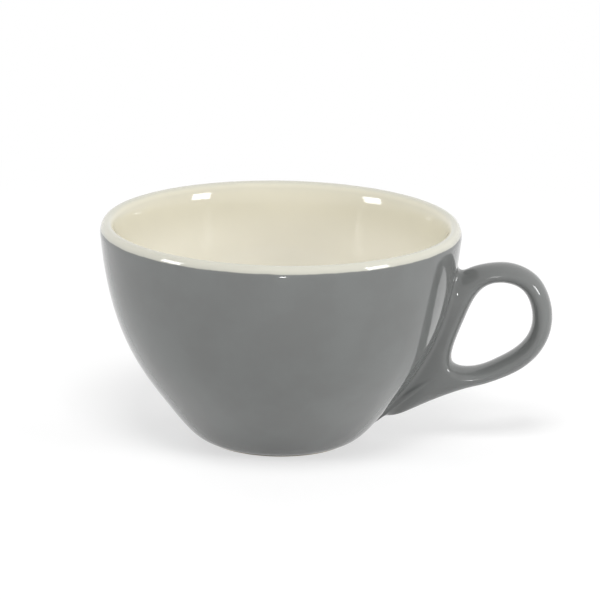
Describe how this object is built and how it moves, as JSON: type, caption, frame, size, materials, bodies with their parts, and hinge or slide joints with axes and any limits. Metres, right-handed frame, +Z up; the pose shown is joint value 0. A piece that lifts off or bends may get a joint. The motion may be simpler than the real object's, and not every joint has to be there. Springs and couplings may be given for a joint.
{
  "type": "cappuccino cup",
  "caption": "Low, wide glazed ceramic cup on a small foot ring, grey outside and cream inside, with a looped handle joined flush to its wall.",
  "frame": {"origin": "on the bowl's axis, in the plane of the table under the foot ring", "axes": "+Z up along the bowl's axis; +X from the axis towards the handle; +Y completes the right hand"},
  "size_m": [0.1195, 0.095, 0.059],
  "materials": {
    "clay": "bare fired stoneware, matt",
    "slip": "fired slip, matt",
    "cream_glaze": "glossy",
    "grey_glaze": "glossy"
  },
  "bodies": {
    "root": {"bowl_body": "clay", "liner_glaze": "cream_glaze", "bowl_glaze": "grey_glaze", "base_glaze": "cream_glaze", "handle_body": "clay", "luting_slip": "slip", "handle_glaze": "grey_glaze"}
  },
  "joints": []
}
